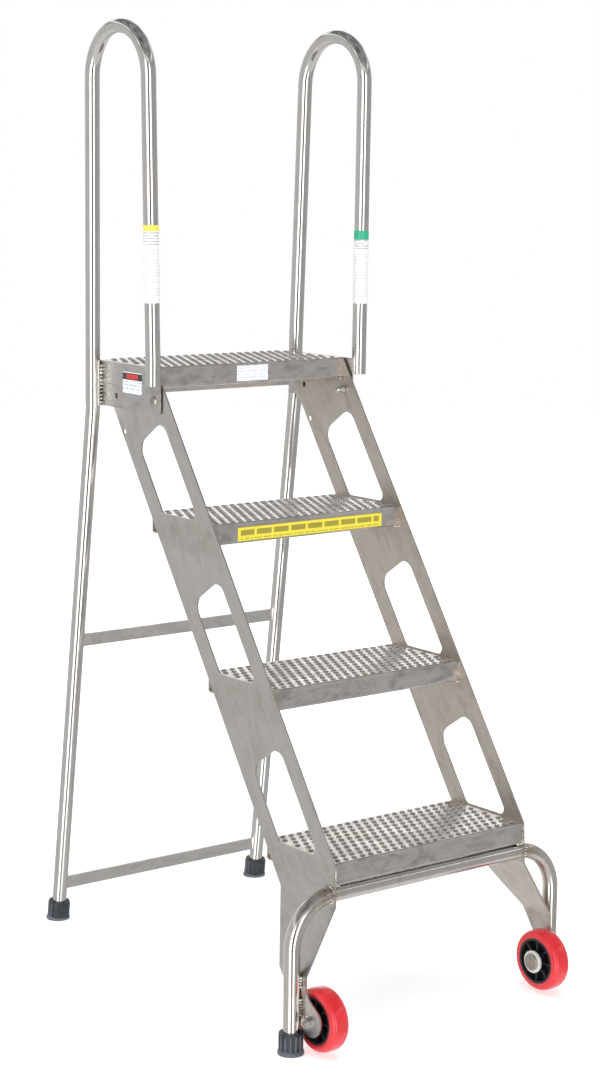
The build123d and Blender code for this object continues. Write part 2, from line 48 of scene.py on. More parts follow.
# Camera, in metres and degrees
CAMERA_PLACE = (-2.3476, -3.0362, 1.3580)
CAMERA_YAW = 37.781
CAMERA_PITCH = -9.437
CAMERA_ROLL = 0.728
CAMERA_LENS = 76.669
CAMERA_SENSOR = 36.0
CAMERA_REACH = 50.0

# Surroundings: brightness of the studio wall at each compass angle, in degrees from +X.
# Heights are the upward part of a direction, from -1 straight down to 1 straight up.
WALL = (
    (0, 0.42), (25, 0.55), (42, 1.38), (66, 1.38), (90, 0.60), (186, 0.54),
    (196, 1.2), (202, 2.6), (207, 3.4), (214, 3.4), (220, 2.0), (225, 0.14), (245, 0.14),
    (250, 1.8), (255, 3.0), (262, 3.0), (267, 1.6), (275, 0.39), (360, 0.42),
)
WALL_TOP = 3.4
CEILING = 0.22
CEILING_EDGE = (0.27, 0.47)
STRIP_LIGHT = 0.75
STRIP_HEIGHT = (0.46, 0.54)
STRIP_SOFTNESS = 0.08
FLOOR_SHADE = 0.72
FLOOR_EDGE = (-0.65, -0.35)
FLOOR_SIZE = 9.0
FLOOR_PARTS = 96
FLOOR_DROP = 0.5 * MM
FLOOR_GLOW = 0.55
FLOOR_GLOW_REACH = (0.5, 1.6)
OVERHEAD_PLACE = (-0.4, -0.2, 4.0)
OVERHEAD_AIM = (0, 0, 0.5)
OVERHEAD_SIZE = (4.0, 4.0)
OVERHEAD_POWER = 112.0

# Ladder dimensions in metres, as the solids have them
STEP_COUNT = 4
STEP_PITCH = 242.0 * MM
STEP_RUN = 163.8 * MM
TOP_STEP_Z = 1016.0 * MM
STEP_WIDTH = 393.0 * MM
STEP_DEPTH = 175.0 * MM
STEP_FLANGE = 35.0 * MM
STEP_LIP = 15.0 * MM
SHEET = 2.5 * MM
BEND = 4.0 * MM
BEND_PARTS = 6
TUBE_R = 12.7 * MM
FOOT_RADIUS = 18.6 * MM
REAR_LEAN = (-0.0035, -0.1228)
NOSE_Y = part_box("step_1")[0].y
SLOPE = math.atan2(STEP_RUN, STEP_PITCH)

# Weld beads
EAR_BEAD_HEIGHTS = ((62 * MM, 87 * MM), (107 * MM, 119 * MM))
EAR_BEAD_FORWARD = 9.2 * MM
EAR_BEAD_OUT = 2.2 * MM
EAR_BEAD_PITCH = 4.8 * MM
EAR_BEAD_R = 2.7 * MM
FRAME_BEAD_INSET = 3.0 * MM
FRAME_BEAD_PITCH = 6.2 * MM
FRAME_BEAD_R = 3.2 * MM
CORNER_BEADS = 4
CORNER_BEAD_START = 1.2
CORNER_BEAD_PITCH = 2.6
CORNER_BEAD_R = (1.9, 2.5)
SEAM_LENGTH = 27 * MM
SEAM_PITCH = 3.0 * MM
SEAM_R = 1.7 * MM
COLLAR_BEADS = 18
COLLAR_BEAD_R = (1.7, 2.3)
COLLAR_REACH = TUBE_R + 0.8 * MM

# Tyres
TYRE_DEPTH = 12.8 * MM
TYRE_SQUARENESS = 0.58
TYRE_SECTION_PARTS = 28
TYRE_PARTS = 96

# Raised holes of the treads
HOLE_PITCH = 16.6 * MM
HOLE_COLUMNS = 23
HOLE_ROWS = 10
HOLE_PARTS = 16
HOLE_PROFILE = (
    (5.6, 0.0), (5.1, 0.25), (4.6, 0.9), (4.3, 1.35), (4.0, 1.5),
    (3.7, 1.4), (3.5, 0.9), (3.4, 0.0), (3.4, -2.5),
)


# Node helpers

def add(tree, kind, inputs=None, **settings):
    made = tree.nodes.new("ShaderNode" + kind)
    for name, value in settings.items():
        setattr(made, name, value)
    for name, value in (inputs or {}).items():
        if isinstance(value, bpy.types.NodeSocket):
            tree.links.new(value, made.inputs[name])
        else:
            made.inputs[name].default_value = value
    return made


def place(tree, scale=(1, 1, 1), turn=(0, 0, 0)):
    """Coordinates in metres, turned and then stretched."""
    where = add(tree, "TexCoord").outputs["Object"]
    angles = [math.radians(a) for a in turn]
    turned = add(tree, "Mapping", {"Vector": where, "Rotation": angles}).outputs["Vector"]
    return add(tree, "Mapping", {"Vector": turned, "Scale": scale}).outputs["Vector"]


def cloud(tree, vector, scale, detail=4.0, rough=0.55, twist=0.0):
    inputs = {"Vector": vector, "Scale": scale, "Detail": detail, "Roughness": rough, "Distortion": twist}
    return add(tree, "TexNoise", inputs).outputs["Fac"]


def spread(tree, value, low, high, to_low=0.0, to_high=1.0):
    """Moves the range low..high of a value smoothly to to_low..to_high."""
    inputs = {"Value": value, "From Min": low, "From Max": high, "To Min": to_low, "To Max": to_high}
    return add(tree, "MapRange", inputs, interpolation_type="SMOOTHSTEP").outputs["Result"]


def maths(tree, operation, first, second=0.0):
    made = add(tree, "Math", operation=operation)
    for index, value in enumerate((first, second)):
        if isinstance(value, bpy.types.NodeSocket):
            tree.links.new(value, made.inputs[index])
        else:
            made.inputs[index].default_value = value
    return made.outputs["Value"]


def rgb(colour):
    return (*colour, 1.0)


def blend(tree, factor, first, second):
    """Mixes two colours; each may be a plain colour or a socket."""
    made = add(tree, "Mix", data_type="RGBA")
    for index, value in ((0, factor), (6, first), (7, second)):
        if isinstance(value, bpy.types.NodeSocket):
            tree.links.new(value, made.inputs[index])
        else:
            made.inputs[index].default_value = value if index == 0 else rgb(value)
    return made.outputs[2]


def axis(tree, name, vector=None):
    vector = vector or add(tree, "TexCoord").outputs["Object"]
    return add(tree, "SeparateXYZ", {"Vector": vector}).outputs[name.upper()]


def band(tree, value, low, high, soft=0.0002):
    """1 between low and high, and 0 outside."""
    rising = spread(tree, value, low - soft, low + soft)
    falling = spread(tree, value, high - soft, high + soft, 1.0, 0.0)
    return maths(tree, "MULTIPLY", rising, falling)


def bump(tree, shader, height, distance, strength=1.0):
    made = add(tree, "Bump", {"Height": height, "Distance": distance, "Strength": strength})
    tree.links.new(made.outputs["Normal"], shader.inputs["Normal"])


def new_material(name, **sockets):
    material = bpy.data.materials.new(name)
    material.use_nodes = True
    shader = material.node_tree.nodes["Principled BSDF"]
    for socket, value in sockets.items():
        shader.inputs[socket.replace("_", " ")].default_value = value
    return material, material.node_tree, shader


# Materials

def steel(name, light, dark, roughness, turn=(0, 0, 0), contrast=1.0, relief=0.02 * MM, tint=None):
    """Rolled stainless steel: soft clouds, grain along the rolling direction, rub marks and fine pits."""
    material, tree, shader = new_material(name, Metallic=1.0)
    plain = place(tree, turn=turn)
    streak = cloud(tree, place(tree, (90, 90, 3), turn), 1.0, 6.0, 0.6)
    fine = cloud(tree, place(tree, (810, 810, 27), turn), 1.0, 3.0, 0.7)
    mottle = cloud(tree, plain, 14.0, 5.0, 0.62, 0.6)
    stain = cloud(tree, plain, 5.0, 3.0, 0.5, 1.2)
    shade = maths(tree, "ADD", maths(tree, "MULTIPLY", mottle, 0.55), maths(tree, "MULTIPLY", streak, 0.45))
    factor = spread(tree, shade, 0.5 - 0.16 / contrast, 0.5 + 0.16 / contrast)
    colour = blend(tree, factor, dark, light)
    warm = spread(tree, stain, 0.55, 0.75, 0.0, 0.45)
    colour = blend(tree, warm, colour, (light[0] * 0.94, light[1] * 0.86, light[2] * 0.76))
    smear = cloud(tree, place(tree, (60, 60, 22), turn), 1.0, 7.0, 0.62, 0.8)
    smudge = spread(tree, smear, 0.46, 0.68, 0.0, 0.75 * contrast)
    colour = blend(tree, smudge, colour, [d * 0.66 for d in dark])
    if tint is not None:
        colour = tint(tree, colour)
    tree.links.new(colour, shader.inputs["Base Color"])
    rub = maths(tree, "ADD", maths(tree, "MULTIPLY", streak, 0.5), maths(tree, "MULTIPLY", mottle, 0.5))
    gloss = spread(tree, rub, 0.3, 0.7, roughness + 0.09, roughness - 0.07)
    tree.links.new(gloss, shader.inputs["Roughness"])
    bump(tree, shader, fine, relief, 0.5)
    return material


def heat_tint(tree, colour, mask, strength=0.5):
    """Straw and brown heat colours next to a weld, broken up by noise."""
    patch = cloud(tree, place(tree), 60.0, 4.0, 0.6, 0.8)
    amount = maths(tree, "MULTIPLY", mask, spread(tree, patch, 0.3, 0.65, 0.0, strength))
    return blend(tree, amount, colour, (0.46, 0.33, 0.22))


def end_tint(tree, colour):
    """Heat colours at the ends of the steps, beside the stringers."""
    across = maths(tree, "ABSOLUTE", axis(tree, "x"))
    mask = spread(tree, across, STEP_WIDTH / 2 - 0.035, STEP_WIDTH / 2)
    return heat_tint(tree, colour, mask, 0.55)


def base_tint(tree, colour):
    """Heat colours where the cross tube passes the stringers and where the ears are welded to the legs."""
    across = maths(tree, "ABSOLUTE", axis(tree, "x"))
    joint = band(tree, across, 0.19, 0.235, 0.02)
    low = spread(tree, axis(tree, "z"), 0.13, 0.16, 0.8, 0.0)
    inner = spread(tree, across, 0.262, 0.268, 1.0, 0.0)
    mask = maths(tree, "MAXIMUM", joint, maths(tree, "MULTIPLY", low, inner))
    return heat_tint(tree, colour, mask, 0.75)


def plate_tint(tree, colour):
    """Faint heat colours on the stringers beside the flanges of each step."""
    height = axis(tree, "z")
    mask = None
    for index in range(STEP_COUNT):
        top = TOP_STEP_Z - index * STEP_PITCH
        near = band(tree, height, top - 0.05, top - 0.005, 0.012)
        mask = near if mask is None else maths(tree, "MAXIMUM", mask, near)
    return heat_tint(tree, colour, mask, 0.22)


def weld_steel():
    material, tree, shader = new_material("weld_metal", Metallic=1.0)
    grain = cloud(tree, place(tree), 420.0, 4.0, 0.6)
    tone = cloud(tree, place(tree), 90.0, 3.0, 0.6)
    colour = blend(tree, spread(tree, tone, 0.35, 0.65), (0.40, 0.36, 0.32), (0.92, 0.91, 0.89))
    tree.links.new(colour, shader.inputs["Base Color"])
    tree.links.new(spread(tree, grain, 0.3, 0.7, 0.12, 0.30), shader.inputs["Roughness"])
    bump(tree, shader, grain, 0.0004, 0.6)
    return material


def fastener(name, light, dark, roughness):
    material, tree, shader = new_material(name, Metallic=1.0)
    turned = cloud(tree, place(tree, (40, 900, 900)), 1.0, 4.0, 0.6)
    wear = cloud(tree, place(tree), 160.0, 5.0, 0.65)
    tree.links.new(blend(tree, spread(tree, wear, 0.35, 0.65), dark, light), shader.inputs["Base Color"])
    tree.links.new(spread(tree, wear, 0.3, 0.7, roughness, roughness + 0.15), shader.inputs["Roughness"])
    bump(tree, shader, turned, 0.0001, 0.6)
    return material


def foot_rubber(name, node, lean):
    """Moulded dark rubber with a painted highlight along its ribs, so that the grooves between them read
    darker.

    lean is how far the leg drifts in x and y for each metre of height.
    """
    material, tree, shader = new_material(name, Specular_IOR_Level=0.5)
    low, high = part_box(node)
    sole = ((low.x + high.x) / 2, (low.y + high.y) / 2)
    height = axis(tree, "z")
    across = maths(tree, "ABSOLUTE", axis(tree, "x"))
    offsets = []
    for where, start, drift in ((across, sole[0], lean[0]), (axis(tree, "y"), sole[1], lean[1])):
        centre = maths(tree, "ADD", maths(tree, "MULTIPLY", height, drift), start)
        offsets.append(maths(tree, "SUBTRACT", where, centre))
    squares = [maths(tree, "MULTIPLY", offset, offset) for offset in offsets]
    radius = maths(tree, "SQRT", maths(tree, "ADD", *squares))
    ridge = spread(tree, radius, FOOT_RADIUS, FOOT_RADIUS + 0.9 * MM)
    dust_and_sheen = cloud(tree, place(tree), 55.0, 5.0, 0.65)
    grain = cloud(tree, place(tree), 900.0, 3.0, 0.6)
    colour = blend(tree, spread(tree, dust_and_sheen, 0.4, 0.75), (0.022, 0.030, 0.040), (0.056, 0.067, 0.083))
    # Painted highlight: the ribs, where the rubber stands out past FOOT_RADIUS, are blended towards a pale
    # blue-grey. The dust noise varies it, so the grooves read dark.
    rib_highlight = maths(tree, "MULTIPLY", ridge, spread(tree, dust_and_sheen, 0.25, 0.6, 0.35, 0.8))
    colour = blend(tree, rib_highlight, colour, (0.18, 0.20, 0.235))
    tree.links.new(colour, shader.inputs["Base Color"])
    tree.links.new(spread(tree, dust_and_sheen, 0.3, 0.7, 0.32, 0.5), shader.inputs["Roughness"])
    bump(tree, shader, grain, 0.00015, 0.7)
    return material


def tread_rubber():
    """Cast polyurethane: deep red, glossy, slightly cloudy, with fine rings left by the mould."""
    material, tree, shader = new_material(
        "wheel_urethane", Coat_Weight=0.8, Coat_Roughness=0.06,
        Subsurface_Weight=0.12, Subsurface_Scale=0.004)
    shader.inputs["Subsurface Radius"].default_value = (1.0, 0.2, 0.15)
    body = cloud(tree, place(tree), 35.0, 3.0, 0.5)
    scuff = cloud(tree, place(tree), 240.0, 5.0, 0.7)
    colour = blend(tree, spread(tree, body, 0.3, 0.7), (0.74, 0.013, 0.024), (0.84, 0.028, 0.042))
    dusty = spread(tree, scuff, 0.60, 0.78, 0.0, 0.15)
    tree.links.new(blend(tree, dusty, colour, (0.70, 0.12, 0.12)), shader.inputs["Base Color"])
    tree.links.new(spread(tree, scuff, 0.3, 0.7, 0.26, 0.34), shader.inputs["Roughness"])
    across = maths(tree, "ABSOLUTE", axis(tree, "x"))
    rings = maths(tree, "SINE", maths(tree, "MULTIPLY", across, 2 * math.pi / 0.0032))
    height = maths(tree, "ADD", maths(tree, "MULTIPLY", rings, 0.5), scuff)
    bump(tree, shader, height, 0.00001, 0.5)
    return material


def plastic(name, light, dark, roughness, grain=500.0):
    material, tree, shader = new_material(name)
    tone = cloud(tree, place(tree), 70.0, 4.0, 0.6)
    texture = cloud(tree, place(tree), grain, 3.0, 0.6)
    tree.links.new(blend(tree, spread(tree, tone, 0.35, 0.7), dark, light), shader.inputs["Base Color"])
    tree.links.new(spread(tree, tone, 0.3, 0.7, roughness, roughness + 0.12), shader.inputs["Roughness"])
    bump(tree, shader, texture, 0.0001, 0.6)
    return material


def film(name, colour_of):
    """Laminated label film: printed colour under a slightly rippled gloss."""
    material, tree, shader = new_material(name, Coat_Weight=0.3, Coat_Roughness=0.15)
    ripple = cloud(tree, place(tree), 130.0, 3.0, 0.5)
    grime = spread(tree, cloud(tree, place(tree), 45.0, 5.0, 0.65), 0.55, 0.8, 0.0, 0.18)
    colour = blend(tree, grime, colour_of(tree), (0.55, 0.52, 0.47))
    tree.links.new(colour, shader.inputs["Base Color"])
    tree.links.new(spread(tree, ripple, 0.3, 0.7, 0.28, 0.42), shader.inputs["Roughness"])
    bump(tree, shader, ripple, 0.0002, 0.4)
    return material


def dashes(tree, along, down, pitch, share, low, high, breaks):
    """Rows of broken bars that stand for small print, without any letters.

    The rows lie one pitch apart between low and high; breaks is how often a row is broken in a metre.
    """
    phase = maths(tree, "FRACT", maths(tree, "DIVIDE", down, pitch))
    row = spread(tree, phase, share - 0.06, share + 0.06)
    inside = band(tree, down, low, high, 0.0004)
    row_number = maths(tree, "FLOOR", maths(tree, "DIVIDE", down, pitch))
    word = add(tree, "CombineXYZ", {
        "X": maths(tree, "MULTIPLY", along, breaks),
        "Y": maths(tree, "MULTIPLY", row_number, 7.3),
    }).outputs["Vector"]
    gaps = spread(tree, cloud(tree, word, 1.0, 1.0, 0.5), 0.42, 0.47)
    return maths(tree, "MULTIPLY", maths(tree, "MULTIPLY", row, inside), gaps)


def rail_film(name, node, band_colour, band_depth):
    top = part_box(node)[1].z

    def colour_of(tree):
        down = maths(tree, "SUBTRACT", top, axis(tree, "z"))
        along = axis(tree, "y")
        bars = dashes(tree, along, down, pitch=0.0046, share=0.52, low=0.0105, high=0.034, breaks=260.0)
        faint = dashes(tree, along, down, pitch=0.0052, share=0.55, low=0.040, high=0.115, breaks=220.0)
        colour = blend(tree, maths(tree, "MULTIPLY", bars, 0.55), (0.87, 0.87, 0.86), (0.22, 0.22, 0.24))
        colour = blend(tree, maths(tree, "MULTIPLY", faint, 0.22), colour, (0.25, 0.25, 0.27))
        return blend(tree, band(tree, down, -0.002, band_depth), colour, band_colour)

    return film(name, colour_of)


def bracket_film():
    low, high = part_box("bracket_label")
    middle_y = (low.y + high.y) / 2

    def colour_of(tree):
        down = maths(tree, "SUBTRACT", high.z, axis(tree, "z"))
        along = maths(tree, "SUBTRACT", axis(tree, "y"), middle_y)
        bars = dashes(tree, along, down, pitch=0.0058, share=0.5, low=0.0150, high=0.0325, breaks=150.0)
        colour = blend(tree, maths(tree, "MULTIPLY", bars, 0.42), (0.86, 0.89, 0.95), (0.16, 0.18, 0.24))
        header = band(tree, down, 0.0015, 0.0130)
        colour = blend(tree, header, colour, (0.03, 0.03, 0.03))
        patch = maths(tree, "MULTIPLY", band(tree, down, 0.0035, 0.0110), band(tree, along, -0.017, 0.017))
        return blend(tree, patch, colour, (0.62, 0.03, 0.03))

    return film("bracket_label_film", colour_of)


def top_step_film():
    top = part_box("top_step_label")[1].z

    def colour_of(tree):
        down = maths(tree, "SUBTRACT", top, axis(tree, "z"))
        along = axis(tree, "x")
        bars = dashes(tree, along, down, pitch=0.0055, share=0.5, low=0.004, high=0.0225, breaks=120.0)
        edge = maths(tree, "MAXIMUM", band(tree, down, 0.0010, 0.0018), band(tree, down, 0.0245, 0.0253))
        faint_bars = maths(tree, "MULTIPLY", bars, 0.25)
        faint_edge = maths(tree, "MULTIPLY", edge, 0.4)
        marks = maths(tree, "MAXIMUM", faint_bars, faint_edge)
        return blend(tree, marks, (0.92, 0.93, 0.98), (0.30, 0.31, 0.38))

    return film("top_step_label_film", colour_of)


def second_step_film():
    low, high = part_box("second_step_label")

    def colour_of(tree):
        down = maths(tree, "SUBTRACT", high.z, axis(tree, "z"))
        along = axis(tree, "x")
        blocks = maths(tree, "FRACT", maths(tree, "DIVIDE", maths(tree, "ADD", along, 0.5), 0.0353))
        block_row = band(tree, down, 0.0052, 0.0142)
        thick = maths(tree, "MULTIPLY", block_row, band(tree, blocks, 0.07, 0.93, 0.012))
        thin = dashes(tree, along, down, pitch=0.0215, share=0.86, low=0.0180, high=0.0212, breaks=160.0)
        inside = band(tree, along, low.x + 0.006, high.x - 0.006)
        rim = maths(tree, "MAXIMUM", band(tree, down, 0.0, 0.0009), band(tree, down, 0.0231, 0.0245))
        dark_blocks = maths(tree, "MULTIPLY", thick, 0.62)
        grey_dashes = maths(tree, "MULTIPLY", thin, 0.4)
        marks = maths(tree, "MAXIMUM", dark_blocks, grey_dashes)
        marks = maths(tree, "MULTIPLY", marks, inside)
        marks = maths(tree, "MAXIMUM", marks, maths(tree, "MULTIPLY", rim, 0.8))
        return blend(tree, marks, (0.93, 0.80, 0.06), (0.06, 0.05, 0.02))

    return film("second_step_label_film", colour_of)


# Mesh helpers

def finish_mesh(name, bm, material, body, replaced, sharp=40.0):
    bmesh.ops.remove_doubles(bm, verts=bm.verts, dist=0.000002)
    bmesh.ops.recalc_face_normals(bm, faces=bm.faces)
    mesh = bpy.data.meshes.new(name)
    bm.to_mesh(mesh)
    bm.free()
    mesh.polygons.foreach_set("use_smooth", [True] * len(mesh.polygons))
    mesh.set_sharp_from_angle(angle=math.radians(sharp))
    mesh.materials.append(material)
    piece = bpy.data.objects.new(name, mesh)
    bpy.context.scene.collection.objects.link(piece)
    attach(piece, body)
    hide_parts(replaced)
    return piece


def strip(bm, first, second):
    """Faces between two rows of points of the same length."""
    rows = [[bm.verts.new(p) for p in row] for row in (first, second)]
    for index in range(len(first) - 1):
        bm.faces.new((rows[0][index], rows[0][index + 1], rows[1][index + 1], rows[1][index]))


def arc(centre, radius, start, end):
    angles = [math.radians(start + (end - start) * i / BEND_PARTS) for i in range(BEND_PARTS + 1)]
    return [(centre[0] + radius * math.cos(a), centre[1] + radius * math.sin(a)) for a in angles]


def flange_profile(radius, depth):
    """Half of a step's section seen from the side: lip, flange and top bend, as (y, z) from the nose."""
    inset = BEND - radius
    low = (BEND, BEND - STEP_FLANGE)
    high = (BEND, -BEND)
    points = [(STEP_LIP, inset - STEP_FLANGE)]
    points += arc(low, radius, 270, 180)
    points += arc(high, radius, 180, 90)
    return [(depth - y, z) for y, z in points] if depth else points


# Treads

def hole_cell(bm, centre_x, centre_y, top, row_pitch):
    """One square of tread with a raised, punched hole in its middle."""
    half_x = HOLE_PITCH / 2
    half_y = row_pitch / 2
    quarter = HOLE_PARTS // 4
    rim = []
    corners = [(1, -1), (1, 1), (-1, 1), (-1, -1)]
    for index, (sx, sy) in enumerate(corners):
        nx, ny = corners[(index + 1) % 4]
        for part in range(quarter):
            share = part / quarter
            x = centre_x + half_x * (sx + (nx - sx) * share)
            y = centre_y + half_y * (sy + (ny - sy) * share)
            rim.append((x, y))
    angles = [math.atan2(y - centre_y, x - centre_x) for x, y in rim]
    rows = [[(x, y, top) for x, y in rim]]
    for radius, height in HOLE_PROFILE:
        ring = [
            (centre_x + radius * MM * math.cos(a), centre_y + radius * MM * math.sin(a), top + height * MM)
            for a in angles
        ]
        rows.append(ring)
    rows.append([(x, y, top - SHEET) for x, y in rim])
    for first, second in zip(rows, rows[1:]):
        strip(bm, first + first[:1], second + second[:1])


def plain_cell(bm, low_x, high_x, parts, low_y, row_pitch, top):
    """Flat tread without a hole, divided like its neighbours so that the faces meet."""
    quarter = HOLE_PARTS // 4
    xs = [low_x + (high_x - low_x) * i / parts for i in range(parts + 1)]
    ys = [low_y + row_pitch * i / quarter for i in range(quarter + 1)]
    for z in (top, top - SHEET):
        for y0, y1 in zip(ys, ys[1:]):
            strip(bm, [(x, y0, z) for x in xs], [(x, y1, z) for x in xs])


def step_mesh(index, material):
    top = TOP_STEP_Z - index * STEP_PITCH
    nose = NOSE_Y - index * STEP_RUN
    bm = bmesh.new()
    row_pitch = (STEP_DEPTH - 2 * BEND) / HOLE_ROWS
    end = STEP_WIDTH / 2
    first_x = -HOLE_COLUMNS * HOLE_PITCH / 2
    for row in range(HOLE_ROWS):
        low_y = nose + BEND + row * row_pitch
        shifted = row % 2
        start = first_x + shifted * HOLE_PITCH / 2
        for column in range(HOLE_COLUMNS - shifted):
            hole_cell(bm, start + (column + 0.5) * HOLE_PITCH, low_y + row_pitch / 2, top, row_pitch)
        for side in (-1, 1):
            plain_cell(bm, side * end, side * -first_x, 1, low_y, row_pitch, top)
            if shifted:
                plain_cell(bm, side * -first_x, side * -start, HOLE_PARTS // 8, low_y, row_pitch, top)
    stations = [-end]
    count = HOLE_COLUMNS * HOLE_PARTS // 4
    stations += [first_x + i * HOLE_PITCH * 4 / HOLE_PARTS for i in range(count + 1)]
    stations.append(end)
    for depth in (0, STEP_DEPTH):
        outer = flange_profile(BEND, depth)
        inner = flange_profile(BEND - SHEET, depth)
        for contour in (outer, inner, [outer[0], inner[0]]):
            for (y0, z0), (y1, z1) in zip(contour, contour[1:]):
                first = [(x, nose + y0, top + z0) for x in stations]
                second = [(x, nose + y1, top + z1) for x in stations]
                strip(bm, first, second)
        for x in (-end, end):
            first = [(x, nose + y, top + z) for y, z in outer]
            second = [(x, nose + y, top + z) for y, z in inner]
            strip(bm, first, second)
    for x in (-end, end):
        ys = [nose + BEND + i * row_pitch * 4 / HOLE_PARTS for i in range(HOLE_ROWS * HOLE_PARTS // 4 + 1)]
        strip(bm, [(x, y, top) for y in ys], [(x, y, top - SHEET) for y in ys])
    name = f"tread_{index + 1}"
    piece = finish_mesh(name, bm, material, "front_ladder", f"step_{index + 1}")
    weights = piece.modifiers.new("normals", "WEIGHTED_NORMAL")
    weights.keep_sharp = True
    return piece


# Wheels

def tyre(name, material):
    """Crowned tyre: a squarish oval section turned round the axle."""
    low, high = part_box(f"{name}_tread")
    middle = (low + high) / 2
    half_width = (high.x - low.x) / 2
    bore = (high.z - low.z) / 2 - TYRE_DEPTH
    section = []
    for part in range(TYRE_SECTION_PARTS + 1):
        turn = math.pi * part / TYRE_SECTION_PARTS
        out = math.copysign(abs(math.cos(turn)) ** TYRE_SQUARENESS, math.cos(turn))
        section.append((half_width * out, bore + TYRE_DEPTH * math.sin(turn) ** TYRE_SQUARENESS))
    section[-1] = (-half_width, bore)
    section.append(section[0])
    bm = bmesh.new()
    rings = []
    for part in range(TYRE_PARTS + 1):
        turn = 2 * math.pi * part / TYRE_PARTS
        rings.append([
            (middle.x + across, middle.y + radius * math.cos(turn), middle.z + radius * math.sin(turn))
            for across, radius in section
        ])
    for first, second in zip(rings, rings[1:]):
        strip(bm, first, second)
    return finish_mesh(f"{name}_tyre", bm, material, name, f"{name}_tread")


# Weld beads

def lump(bm, centre, radii, seed, roughness=0.16):
    """One ripple of weld: a flattened drop with an uneven skin."""
    made = bmesh.ops.create_icosphere(bm, subdivisions=3, radius=1.0)
    for vertex in made["verts"]:
        push = 1 + roughness * noise.noise(vertex.co * 1.7 + Vector((seed * 3.1, seed * 1.7, 0)))
        vertex.co = Vector([c * r * push for c, r in zip(vertex.co, radii)]) + Vector(centre)


def bead_row(bm, x, y, low_z, high_z, pitch, radius, draw):
    """Overlapping ripples up the groove between a tube and a plate."""
    for index in range(int(round((high_z - low_z) / pitch)) + 1):
        size = radius * draw.uniform(0.82, 1.12)
        centre = (x, y + draw.uniform(-0.3, 0.3) * MM, low_z + index * pitch)
        lump(bm, centre, (size, size, size * draw.uniform(0.85, 1.0)), index + x * 900)


def frame_beads(material):
    draw = random.Random(4)
    bm = bmesh.new()
    low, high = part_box("frame_welds")
    y = (low.y + high.y) / 2
    for side in (-1, 1):
        x = side * (high.x - FRAME_BEAD_INSET)
        low_z = low.z + FRAME_BEAD_INSET
        high_z = high.z - FRAME_BEAD_INSET
        bead_row(bm, x, y, low_z, high_z, FRAME_BEAD_PITCH, FRAME_BEAD_R, draw)
    return finish_mesh("frame_weld_beads", bm, material, "rear_frame", "frame_welds", 180.0)


def collar(bm, x, y, z, side, draw):
    """Ring of weld ripples where the cross tube passes a stringer."""
    for index in range(COLLAR_BEADS):
        turn = 2 * math.pi * index / COLLAR_BEADS
        centre = (x + side * 0.6 * MM, y + COLLAR_REACH * math.cos(turn), z + COLLAR_REACH * math.sin(turn))
        size = draw.uniform(*COLLAR_BEAD_R) * MM
        lump(bm, centre, (size, size, size), index + x * 700)


def corner_beads(bm, side, step, draw):
    """Short row of weld under the front flange of a step, where it meets a stringer."""
    y = NOSE_Y - step * STEP_RUN + 1.2 * MM
    under = TOP_STEP_Z - step * STEP_PITCH - STEP_FLANGE
    for part in range(CORNER_BEADS):
        x = side * (STEP_WIDTH / 2 - (CORNER_BEAD_START + part * CORNER_BEAD_PITCH) * MM)
        centre = (x, y, under - draw.uniform(0.0, 0.6) * MM)
        size = draw.uniform(*CORNER_BEAD_R) * MM
        lump(bm, centre, (size * 1.1, size, size), part + step * 5 + side)


def ladder_beads(material):
    draw = random.Random(7)
    bm = bmesh.new()
    leg_low, leg_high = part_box("left_front_foot")
    leg_y = (leg_low.y + leg_high.y) / 2
    groove_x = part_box("left_stringer")[0].x * -1 + EAR_BEAD_OUT
    plate_x = STEP_WIDTH / 2
    tube_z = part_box("base_tube")[1].z - TUBE_R
    seam_y = NOSE_Y - (STEP_COUNT - 1) * STEP_RUN - 1.0 * MM
    seam_top = TOP_STEP_Z - (STEP_COUNT - 1) * STEP_PITCH - BEND
    for side in (-1, 1):
        for low, high in EAR_BEAD_HEIGHTS:
            ear_y = leg_y - EAR_BEAD_FORWARD
            bead_row(bm, side * groove_x, ear_y, low, high, EAR_BEAD_PITCH, EAR_BEAD_R, draw)
        for step in range(STEP_COUNT):
            corner_beads(bm, side, step, draw)
        seam_x = side * (plate_x - 0.6 * MM)
        bead_row(bm, seam_x, seam_y, seam_top - SEAM_LENGTH, seam_top, SEAM_PITCH, SEAM_R, draw)
        collar(bm, side * (plate_x + 3 * MM), leg_y, tube_z, side, draw)
    return finish_mesh("ladder_weld_beads", bm, material, "front_ladder", "ladder_welds", 180.0)


# Studio

def add_camera():
    yaw = math.radians(CAMERA_YAW)
    pitch = math.radians(CAMERA_PITCH)
    roll = math.radians(CAMERA_ROLL)
    ahead = Vector((math.sin(yaw) * math.cos(pitch), math.cos(yaw) * math.cos(pitch), math.sin(pitch)))
    level = Vector((math.cos(yaw), -math.sin(yaw), 0))
    above = level.cross(ahead)
    right = math.cos(roll) * level + math.sin(roll) * above
    up = math.cos(roll) * above - math.sin(roll) * level
    turn = Matrix((right, up, -ahead)).transposed()
    data = bpy.data.cameras.new("camera")
    data.sensor_width = CAMERA_SENSOR
    data.lens = CAMERA_LENS
    data.clip_end = CAMERA_REACH
    camera = bpy.data.objects.new("camera", data)
    camera.matrix_world = Matrix.Translation(CAMERA_PLACE) @ turn.to_4x4()
    bpy.context.scene.collection.objects.link(camera)
    bpy.context.scene.camera = camera


